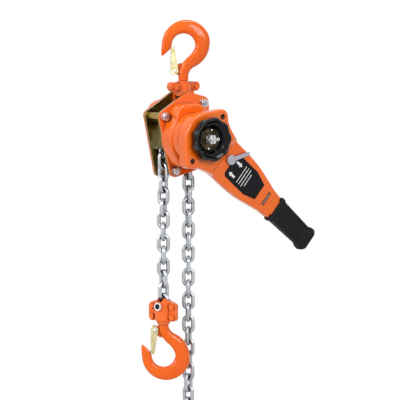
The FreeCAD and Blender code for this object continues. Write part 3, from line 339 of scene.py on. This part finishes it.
# Side plates, stays and chain guides: pressed steel, yellow zinc plated. The three stay bolts keep
# the plates apart. Their threaded ends are silver and carry the nuts that hold both covers.
plate_edge = 0.0006
thread_start = 0.0215
plate_zinc = zinc_plate("plate_zinc", (0.28, 0.19, 0.045, 1), (0.32, 0.24, 0.075, 1),
                        (0.15, 0.095, 0.018, 1), 0.22, 0.38, plate_edge)
coat(plate_zinc, "brake_side_plate", "gear_side_plate")
guide_zinc = zinc_plate("guide_zinc", (0.13, 0.105, 0.028, 1), (0.2, 0.17, 0.06, 1),
                        (0.06, 0.045, 0.01, 1), 0.22, 0.4, plate_edge)
coat(guide_zinc, "chain_guides", "chain_stripper")
stay_zinc = zinc_plate("stay_zinc", (0.32, 0.23, 0.06, 1), (0.4, 0.32, 0.12, 1),
                       (0.2, 0.13, 0.03, 1), 0.2, 0.34, plate_edge)
stay_nodes = stay_zinc.node_tree.nodes
shader = stay_nodes["Principled BSDF"]
plated = Flow(stay_zinc.node_tree, shader.inputs["Base Color"].links[0].from_socket)
place = Flow(stay_zinc.node_tree, stay_nodes["Texture Coordinate"].outputs["Object"])
depth = place.node("ShaderNodeSeparateXYZ", {}, {"Vector": place}, "Y")
feed(shader, "Base Color", blend(abs(depth) > thread_start, plated, (0.34, 0.33, 0.37, 1)))
coat(stay_zinc, "stay_bolts")
coat(bright_zinc, "cover_studs")

# Cover nuts: cold-forged hexagon nuts with chamfered corners, each on a flat washer. One nut is
# made and copied to every stay and stud, in front and behind.
shaft_centre = Vector((-0.0139, 0, -0.1545))
stays = ((-0.0355, 0.0313), (0.0352, 0.0496), (0.0410, -0.0370))
studs = {-1: (-0.0156, -0.0510), 1: (-0.0174, -0.0526)}
nut_flats = 0.0114
nut_face = 0.0227
nut_top = nut_face + 0.005
nut_corner_r = 0.00655
nut_bore_r = 0.0031
washer_r = 0.0064
washer_face = 0.0216


def round_bar(radius, y0, y1, corners=48):
    """A bar along the drive axis, between two depths."""
    bpy.ops.object.select_all(action="DESELECT")
    bpy.ops.mesh.primitive_cylinder_add(vertices=corners, radius=radius, depth=abs(y1 - y0),
                                        location=(0, (y0 + y1) / 2, 0),
                                        rotation=(math.pi / 2, 0, 0))
    settle()
    return bpy.context.object


def carve(part, tool, operation):
    cut = part.modifiers.new("cut", "BOOLEAN")
    cut.object = tool
    cut.operation = operation
    bpy.context.view_layer.objects.active = part
    bpy.ops.object.modifier_apply(modifier="cut")
    bpy.data.objects.remove(tool)


def ease_front(part, front, offset, segments):
    """Bevels the rim of a bar's front face, which lies at this depth."""
    bpy.ops.object.mode_set(mode="EDIT")
    pick(part, "edges", lambda e: max(v.co.y for v in e.verts) < front + hair)
    bpy.ops.mesh.bevel(offset=offset, segments=segments, affect="EDGES")
    bpy.ops.object.mode_set(mode="OBJECT")


def gather(parts, name, material):
    """Joins pieces into one, names it and gives it its finish."""
    choose(*parts)
    bpy.ops.object.join()
    whole = bpy.context.object
    whole.name = name
    whole.data.materials.clear()
    whole.data.materials.append(material)
    bpy.ops.object.shade_smooth_by_angle(angle=math.radians(35))
    return whole


# The nuts' edge colour is dark: painted shade along their edges.
nut_zinc = zinc_plate("nut_zinc", (0.6, 0.6, 0.63, 1), (0.7, 0.68, 0.67, 1), (0.4, 0.4, 0.43, 1),
                      0.2, 0.34, 0.0003, (0.3, 0.28, 0.27, 1))
nut = round_bar(nut_flats / math.sqrt(3), -nut_face, -nut_top, 6)
chamfer = round_bar(nut_corner_r, -nut_face, -nut_top)
ease_front(chamfer, -nut_top, 0.0011, 3)
carve(nut, chamfer, "INTERSECT")
washer = round_bar(washer_r, -washer_face, -nut_face)
ease_front(washer, -nut_face, 0.0004, 2)
for ring in (nut, washer):
    carve(ring, round_bar(nut_bore_r, -0.02, -0.03, 32), "DIFFERENCE")
first_nut = gather([nut, washer], "nut", nut_zinc)
for side, name, replaced in ((-1, "front_hex_nuts", "front_cover_nuts"),
                             (1, "rear_hex_nuts", "rear_cover_nuts")):
    copies = []
    for x, z in stays + (studs[side],):
        choose(first_nut)
        bpy.ops.object.duplicate(linked=False)
        copy = bpy.context.object
        copy.rotation_euler = (0, 0, math.pi if side > 0 else 0)
        copy.location = shaft_centre + Vector((x, 0, z))
        settle()
        copies.append(copy)
    nuts = gather(copies, name, nut_zinc)
    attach(nuts, "hoist")
    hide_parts(replaced)
bpy.data.objects.remove(first_nut)

# Load sheave, gears, drive shaft and brake: forged and turned steel, the teeth milled, left bright
# under a film of oil.
machined_steel, shader, place = finish("machined_steel", {"Metallic": 1.0})
soft, edge = rounded_edges(place, 0.0003)
stain = spread(mottle(place, 60.0, 4.0), 0.35, 0.7, 0.0, 1.0)
tone = blend(stain, (0.6, 0.6, 0.6, 1), (0.42, 0.41, 0.4, 1))
# Painted highlight: the edges are painted a pale grey.
feed(shader, "Base Color", blend(edge * 0.4, tone, (0.8, 0.8, 0.8, 1)))
ridges = place.node("ShaderNodeTexWave", {"bands_direction": "Y"},
                    {"Vector": place, "Scale": 900.0, "Distortion": 1.5, "Detail": 2.0})
feed(shader, "Roughness", spread(ridges, 0.0, 1.0, 0.24, 0.36))
feed(shader, "Normal", relief(ridges, 0.08, 0.0001, soft))
coat(machined_steel, "load_sheave", "load_gear", "upper_gear", "lower_gear", "drive_shaft",
     "brake_hub", "change_gear", "ratchet_disc", "upper_pawl", "lower_pawl", "pawl_pins",
     "sheave_bearings", "top_pin", "selector_pawl", "gear_snap_ring")
coat(spring_steel, "pawl_springs", "free_chain_spring")

# Friction pads: rings of moulded brake lining, brown-grey with bright chips of filler in it.
lining, shader, place = finish("brake_lining", {"IOR": 1.45})
chips = mottle(place, 700.0, 3.0) > 0.62
feed(shader, "Base Color", blend(chips, (0.11, 0.075, 0.05, 1), (0.2, 0.16, 0.12, 1)))
feed(shader, "Roughness", spread(mottle(place, 300.0), 0.3, 0.7, 0.7, 0.9))
feed(shader, "Normal", relief(mottle(place, 900.0, 3.0), 0.3, 0.0003))
coat(lining, "friction_pads")

# Covers: the brake cover in front is a deep pressing in two steps, the gear cover behind is
# shallow. Both are powder-coated orange like the hooks, but glossier.
orange_pressing = powder_coat("orange_pressing", (0.98, 0.172, 0.008, 1), (0.93, 0.140, 0.004, 1),
                              0.0016)
coat(orange_pressing, "brake_cover", "gear_cover")

# Chain: short links bent from round alloy wire, butt-welded on one side, hardened and galvanised.
# The zinc is in grey patches, with painted shade, nearly black, where links touch.
chain_zinc, shader, place = finish("chain_zinc", {"Metallic": 1.0})
soft = place.node("ShaderNodeBevel", {"samples": 4}, {"Radius": 0.0006})
patches = place.node("ShaderNodeTexVoronoi", {}, {"Vector": place, "Scale": 520.0}, "Color")
grey = patches.node("ShaderNodeSeparateColor", {}, {"Color": patches})
cloud = spread(mottle(place, 85.0, 3.0), 0.35, 0.65, 0.0, 1.0)
tone = blend(cloud, (0.56, 0.58, 0.6, 1), (0.42, 0.44, 0.47, 1))
tone = blend(grey * 0.3, tone, (0.34, 0.36, 0.39, 1))
# Painted shade: the zinc goes nearly black where links touch and in their crevices.
painted_contact_shade = spread(crevice(place, 0.006), 0.15, 0.75, 0.0, 0.85)
feed(shader, "Base Color", blend(painted_contact_shade, tone, (0.05, 0.052, 0.06, 1)))
feed(shader, "Roughness", spread(mottle(place, 240.0, 4.0, 0.6), 0.3, 0.7, 0.2, 0.36))
feed(shader, "Normal", relief(mottle(place, 620.0, 3.0), 0.16, 0.0003, soft))
coat(chain_zinc, "load_chain", "load_chain_upper", "chain_on_sheave", "slack_chain",
     "chain_end_ring")


def strand_copy(node, name):
    """A copy of a CAD chain strand, to move in its place. Its links are separate shells."""
    choose(frame["nodes"][node])
    bpy.ops.object.duplicate(linked=False)
    copy = bpy.context.object
    copy.parent = None
    copy.name = name
    del copy["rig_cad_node"]
    bpy.ops.object.mode_set(mode="EDIT")
    bpy.ops.mesh.select_all(action="SELECT")
    bpy.ops.mesh.remove_doubles(threshold=weld)
    bpy.ops.object.mode_set(mode="OBJECT")
    return copy


def middle_height(link):
    heights = [v.co.z for v in link.data.vertices]
    return (max(heights) + min(heights)) / 2


strand_copy("load_chain_upper", "rising_links")
bpy.ops.mesh.separate(type="LOOSE")
links = sorted(bpy.context.selected_objects, key=middle_height)
entry_link = links.pop()
entry_link.name = "entry_link"
choose(*links)
bpy.ops.object.join()
rising_links = bpy.context.object
rising_links.name = "rising_links"
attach(entry_link, "sheave")
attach(rising_links, "load_end")
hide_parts("load_chain_upper")
sinking_links = strand_copy("slack_chain", "sinking_links")
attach(sinking_links, "hoist")
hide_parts("slack_chain")
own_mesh(sinking_links)

# Lever: two pressed shells screwed together at the ears, the front one raised round the change gear
# and sloped down to the arm. Powder-coated; the screws are black, sunk in the ears.
coat(orange_pressing, "lever_front_shell", "lever_rear_shell")
black_oxide = zinc_plate("black_oxide", (0.06, 0.06, 0.065, 1), (0.09, 0.085, 0.08, 1),
                         (0.03, 0.03, 0.032, 1), 0.3, 0.45, 0.0002)
coat(black_oxide, "lever_screws")

# Label: a thin black plate riveted flush on the arm, with two white arrows and four plain rules
# printed on it. The bare plate by the grip is tinplate with a dark rim.
lever_turn = math.radians(40.4)
arm_along = Vector((math.cos(lever_turn), 0, -math.sin(lever_turn)))
arm_across = Vector((math.sin(lever_turn), 0, math.cos(lever_turn)))


def lay_on_lever(part, name, material, replaced=()):
    """Turns a piece that was shaped along X to its place on the lever."""
    settle()
    part.rotation_euler = (0, lever_turn, 0)
    part.location = shaft_centre
    settle()
    part.name = name
    part.data.materials.clear()
    part.data.materials.append(material)
    bpy.ops.object.shade_smooth_by_angle(angle=math.radians(40))
    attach(part, "lever")
    if replaced:
        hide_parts(*replaced)


black_label, shader, place = finish("black_label", {"IOR": 1.45, "Specular IOR Level": 0.12})
soft, edge = rounded_edges(place, 0.0003)
# Painted highlight: the plate's edges are painted a lighter grey.
feed(shader, "Base Color", blend(edge, (0.009, 0.009, 0.012, 1), (0.05, 0.05, 0.05, 1)))
feed(shader, "Roughness", spread(mottle(place, 130.0, 3.0), 0.3, 0.7, 0.3, 0.42))
feed(shader, "Normal", relief(mottle(place, 1100.0), 0.06, 0.0002, soft))
coat(black_label, "label_plate")

label_face = -0.07855
ink_depth = 0.00008
arrow_half = 0.0019
arrow_tip = 0.0052
arrow_flare = 2.1
rule_width = 0.0011
rules = ((0.0865, 0.0150), (0.0915, 0.0150), (0.0965, 0.0150), (0.1015, 0.0110))


def print_bar(start, end, across, half, tip=0.0):
    """A flat bar of ink on the label; with a tip it is an arrow that points towards its end."""
    bpy.ops.object.select_all(action="DESELECT")
    bpy.ops.mesh.primitive_plane_add(size=1, location=((start + end) / 2, label_face, across),
                                     rotation=(math.pi / 2, 0, 0))
    bar = bpy.context.object
    bar.scale = (abs(end - start), half * 2, 1)
    settle()
    if tip:
        heading = 1 if end > start else -1
        shoulder = (end, label_face, across)
        bpy.ops.object.mode_set(mode="EDIT")
        pick(bar, "verts", lambda v: abs(v.co.x - end) < same_place)
        bpy.ops.mesh.extrude_region_move(TRANSFORM_OT_translate={"value": (0, 0, 0)})
        bpy.ops.transform.resize(value=(1, 1, arrow_flare), center_override=shoulder)
        bpy.ops.mesh.extrude_region_move(TRANSFORM_OT_translate={"value": (heading * tip, 0, 0)})
        bpy.ops.transform.resize(value=(1, 1, 0), center_override=shoulder)
        bpy.ops.mesh.select_all(action="SELECT")
        bpy.ops.mesh.remove_doubles(threshold=weld)
        bpy.ops.mesh.normals_make_consistent(inside=False)
        bpy.ops.object.mode_set(mode="OBJECT")
    thick = bar.modifiers.new("ink", "SOLIDIFY")
    thick.thickness = ink_depth
    thick.offset = 0
    bpy.ops.object.modifier_apply(modifier="ink")
    return bar


marks = [print_bar(0.0795, 0.0715, -0.0117, arrow_half, arrow_tip),
         print_bar(0.0678, 0.0756, 0.0092, arrow_half, arrow_tip)]
for rule_start, rule_half in rules:
    marks.append(print_bar(rule_start, rule_start + rule_width, 0.0, rule_half))
choose(*marks)
bpy.ops.object.join()
white_ink, shader, place = finish("white_ink", {"IOR": 1.45})
tone = blend(mottle(place, 900.0, 3.0), (0.86, 0.86, 0.86, 1), (0.95, 0.95, 0.95, 1))
feed(shader, "Base Color", tone)
feed(shader, "Roughness", spread(mottle(place, 300.0), 0.3, 0.7, 0.35, 0.5))
lay_on_lever(bpy.context.object, "label_print", white_ink)

tinplate_middle = 0.1475
tinplate, shader, place = finish("tinplate", {"Metallic": 0.0})
reach = combine("DOT_PRODUCT", place, arm_along) - shaft_centre.dot(arm_along)
aside = combine("DOT_PRODUCT", place, arm_across) - shaft_centre.dot(arm_across)
off_end = spread(abs(aside), 0.0094, 0.0098, 1.0, 0.0)
field = off_end * spread(abs(reach - tinplate_middle), 0.0006, 0.0009, 1.0, 0.0)
feed(shader, "Base Color", blend(field, (0.02, 0.01, 0.008, 1), (0.42, 0.27, 0.19, 1)))
feed(shader, "Metallic", field * 0.55)
feed(shader, "Roughness", spread(mottle(place, 400.0, 3.0), 0.3, 0.7, 0.3, 0.45))
coat(tinplate, "data_plate")

# Grip: a black rubber sleeve moulded over the arm's tang, with a thick lip at its mouth, a waist, a
# flared end and fine slanting ribs on both broad faces. Each section below has its place along the
# arm and half its height there.
black_rubber, shader, place = finish("black_rubber", {"IOR": 1.48, "Specular IOR Level": 0.18})
tone = blend(mottle(place, 60.0, 3.0), (0.005, 0.005, 0.006, 1), (0.01, 0.01, 0.011, 1))
feed(shader, "Base Color", tone)
feed(shader, "Roughness", spread(mottle(place, 220.0, 3.0), 0.3, 0.7, 0.52, 0.7))
soft = rounded_edges(place, 0.001)[0]
feed(shader, "Normal", relief(mottle(place, 1600.0, 2.0), 0.2, 0.0002, soft))
grip_sections = ((0.171, 0.0206), (0.1765, 0.0206), (0.1805, 0.0182), (0.238, 0.0159),
                 (0.245, 0.0188), (0.251, 0.0188), (0.255, 0.0146))
grip_start, grip_end = grip_sections[0][0], grip_sections[-1][0]
grip_front, grip_back = -0.0806, -0.0634
grip_depth = (grip_front + grip_back) / 2
blank_half = 0.02


def lengthwise(edge):
    return abs(edge.verts[0].co.x - edge.verts[1].co.x) > 0.001


bpy.ops.object.select_all(action="DESELECT")
bpy.ops.mesh.primitive_cube_add(size=1, location=((grip_start + grip_end) / 2, grip_depth, 0),
                                scale=(grip_end - grip_start, grip_back - grip_front,
                                       2 * blank_half))
grip = bpy.context.object
settle()
bpy.ops.object.mode_set(mode="EDIT")
for along, _ in grip_sections[1:-1]:
    bpy.ops.mesh.select_all(action="SELECT")
    bpy.ops.mesh.bisect(plane_co=(along, 0, 0), plane_no=(1, 0, 0))
for along, half in grip_sections:
    pick(grip, "verts", lambda v: abs(v.co.x - along) < same_place)
    bpy.ops.transform.resize(value=(1, 1, half / blank_half),
                             center_override=(along, grip_depth, 0))
pick(grip, "edges", lengthwise)
bpy.ops.mesh.bevel(offset=0.0034, segments=5, affect="EDGES")
pick(grip, "edges", lambda e: min(v.co.x for v in e.verts) > grip_end - hair
     or max(v.co.x for v in e.verts) < grip_start + hair)
bpy.ops.mesh.bevel(offset=0.0012, segments=3, affect="EDGES")
bpy.ops.object.mode_set(mode="OBJECT")

tang_middle = (0.2085, -0.072, 0)
tang_size = (0.079, 0.012, 0.028)
bpy.ops.object.select_all(action="DESELECT")
bpy.ops.mesh.primitive_cube_add(size=1, location=tang_middle, scale=tang_size)
carve(grip, bpy.context.object, "DIFFERENCE")

rib_slant = math.radians(33)
rib_space = 0.0033
rib_count = 18
rib_row_start = 0.158
rib_size = (0.09, 0.0012, 0.0018)
ribs_from, ribs_to = 0.1835, 0.2365
waist = 0.1805
waist_half = 0.0158
waist_slope = 0.04
bpy.ops.object.select_all(action="DESELECT")
bpy.ops.mesh.primitive_cube_add(size=1, location=(0, grip_front, 0), scale=rib_size)
rib = bpy.context.object
settle()
bpy.ops.object.mode_set(mode="EDIT")
pick(rib, "edges", lambda e: lengthwise(e) and e.verts[0].co.y < grip_front)
bpy.ops.mesh.bevel(offset=0.0006, segments=2, affect="EDGES")
bpy.ops.object.mode_set(mode="OBJECT")
rib.rotation_euler = (0, -rib_slant, 0)
rib.location = (rib_row_start, 0, 0)
settle()
row = rib.modifiers.new("row", "ARRAY")
row.count = rib_count
row.use_relative_offset = False
row.use_constant_offset = True
row.constant_offset_displace = (rib_space / math.sin(rib_slant), 0, 0)
bpy.ops.object.modifier_apply(modifier="row")
bpy.ops.object.mode_set(mode="EDIT")
for point, away in (((ribs_from, 0, 0), (-1, 0, 0)), ((ribs_to, 0, 0), (1, 0, 0)),
                    ((waist, 0, waist_half), (waist_slope, 0, 1)),
                    ((waist, 0, -waist_half), (waist_slope, 0, -1))):
    bpy.ops.mesh.select_all(action="SELECT")
    bpy.ops.mesh.bisect(plane_co=point, plane_no=away, use_fill=True, clear_outer=True)
bpy.ops.mesh.select_all(action="SELECT")
bpy.ops.mesh.duplicate()
bpy.ops.transform.resize(value=(1, -1, 1), center_override=(0, grip_depth, 0))
bpy.ops.mesh.select_all(action="SELECT")
bpy.ops.mesh.normals_make_consistent(inside=False)
bpy.ops.object.mode_set(mode="OBJECT")
choose(grip, rib)
bpy.ops.object.join()
lay_on_lever(grip, "ribbed_grip", black_rubber, ["grip"])

# Selector: a zinc die-cast disc with a bar to turn it by, on a stem through the arm.
cast_zinc, shader, place = finish("cast_zinc", {"Metallic": 0.55})
soft = rounded_edges(place, 0.0004)[0]
tone = blend(mottle(place, 150.0, 4.0), (0.36, 0.355, 0.42, 1), (0.46, 0.455, 0.52, 1))
feed(shader, "Base Color", tone)
feed(shader, "Roughness", spread(mottle(place, 500.0, 3.0), 0.3, 0.7, 0.38, 0.5))
feed(shader, "Normal", relief(mottle(place, 1300.0, 2.0), 0.15, 0.0002, soft))
coat(cast_zinc, "selector")

# Handwheel: a black cup moulded in glossy plastic, with nine lobes round its rim. Its profile goes
# round the cup's wall: radius, depth, and how far the lobes stand out there.
black_gloss, shader, place = finish("black_gloss", {"IOR": 1.45, "Specular IOR Level": 0.05,
                                                    "Coat Roughness": 0.05})
soft = rounded_edges(place, 0.0012)[0]
bend = place.node("ShaderNodeNewGeometry", {}, {}, "Pointiness")
# Painted highlight: the sharpest ridges of the rim and lip are painted pale grey.
painted_ridge_highlight = spread(bend, 0.514, 0.536, 0.0, 1.0)
tone = blend(mottle(place, 40.0, 3.0), (0.002, 0.002, 0.003, 1), (0.004, 0.004, 0.006, 1))
feed(shader, "Base Color", blend(painted_ridge_highlight, tone, (0.13, 0.13, 0.14, 1)))
feed(shader, "Roughness", spread(mottle(place, 90.0, 3.0), 0.3, 0.7, 0.12, 0.2))
feed(shader, "Coat Weight", spread(crevice(place, 0.02), 0.15, 0.5, 0.32, 0.02))
feed(shader, "Normal", relief(mottle(place, 300.0, 2.0), 0.05, 0.0004, soft))
lobes = 9
wheel_corners = 4 * lobes
wheel_profile = ((0.01105, -0.0861, 0.0), (0.0166, -0.0861, 0.0), (0.0172, -0.0864, 0.0),
                 (0.0214, -0.0892, 0.0), (0.0286, -0.0893, 0.0008), (0.0316, -0.0899, 0.0014),
                 (0.0330, -0.0920, 0.0017), (0.0330, -0.0975, 0.0017), (0.0319, -0.1000, 0.0016),
                 (0.0302, -0.1010, 0.0010), (0.0288, -0.1006, 0.0004), (0.0278, -0.0992, 0.0),
                 (0.0248, -0.0958, 0.0), (0.0222, -0.0946, 0.0), (0.0212, -0.0932, 0.0),
                 (0.0178, -0.0892, 0.0), (0.0168, -0.08855, 0.0), (0.0113, -0.0885, 0.0),
                 (0.01105, -0.0884, 0.0))
first_radius, last_depth, _ = wheel_profile[0]
bpy.ops.object.select_all(action="DESELECT")
bpy.ops.mesh.primitive_circle_add(vertices=wheel_corners, radius=first_radius,
                                  location=(0, last_depth, 0), rotation=(math.pi / 2, 0, 0))
handwheel = bpy.context.object
settle()
bpy.ops.object.mode_set(mode="EDIT")
bpy.ops.mesh.select_all(action="SELECT")
for radius, depth, lobe in wheel_profile[1:]:
    bpy.ops.mesh.extrude_region_move(TRANSFORM_OT_translate={"value": (0, depth - last_depth, 0)})
    last_depth = depth
    mesh = bmesh.from_edit_mesh(handwheel.data)
    for corner in mesh.verts:
        if corner.select:
            turn = math.atan2(corner.co.z, corner.co.x)
            reach = radius + lobe * math.cos(lobes * turn)
            corner.co.x = reach * math.cos(turn)
            corner.co.z = reach * math.sin(turn)
    bmesh.update_edit_mesh(handwheel.data)
pick(handwheel, "edges", lambda e: len(e.link_faces) == 1)
bpy.ops.mesh.bridge_edge_loops()
bpy.ops.mesh.select_all(action="SELECT")
bpy.ops.mesh.normals_make_consistent(inside=False)
bpy.ops.object.mode_set(mode="OBJECT")
soften = handwheel.modifiers.new("soften", "SUBSURF")
soften.levels = 2
soften.render_levels = 2
bpy.ops.object.modifier_apply(modifier="soften")
handwheel.location = shaft_centre
settle()
handwheel.name = "lobed_handwheel"
handwheel.data.materials.append(black_gloss)
bpy.ops.object.shade_smooth()
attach(handwheel, "wheel")
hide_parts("handwheel")

# Fittings in the cup: a ring plate on bright rivets, painted dark brown as the reflection of the
# black cup, and the castle nut with its cotter pin on the shaft's end.
# Painted reflection: the ring plate is coloured dark, as it looks when reflecting the black cup.
ring_plate_painted_reflection = zinc_plate("ring_plate_painted_reflection", (0.05, 0.036, 0.02, 1), (0.12, 0.085, 0.045, 1),
                         (0.02, 0.015, 0.01, 1), 0.14, 0.26, 0.0004)
coat(ring_plate_painted_reflection, "wheel_ring_plate")
coat(bright_zinc, "wheel_rivets", "castle_nut", "cotter_pin")

# Bottom block: two forged halves bolted together round the chain's last link, which hangs on a pin,
# and round the hook's head. The pin is turned steel, with a black disc painted on each end as the
# shade in its centre hole.
coat(orange_forging, "bottom_block_front", "bottom_block_rear", "bottom_block_bolts")
pin_end = (-0.04909, -0.00445, -0.41175)
pin_axis = (0.9397, 0.342, 0)
pin_steel, shader, place = finish("pin_steel", {"IOR": 1.5})
out_of_axis = combine("CROSS_PRODUCT", combine("SUBTRACT", place, pin_end, "Vector"), pin_axis,
                      "Vector")
off_axis = out_of_axis.node("ShaderNodeVectorMath", {"operation": "LENGTH"}, {0: out_of_axis},
                            "Value")
# Painted shade: the middle of each end is painted black, as the shade in its centre hole.
ring = spread(off_axis, 0.0040, 0.0043, 0.0, 1.0)
feed(shader, "Base Color", blend(ring, (0.006, 0.006, 0.007, 1), (0.78, 0.74, 0.7, 1)))
feed(shader, "Roughness", spread(mottle(place, 400.0, 3.0), 0.3, 0.7, 0.28, 0.42))
feed(shader, "Metallic", ring * 0.8)
coat(pin_steel, "chain_pin")
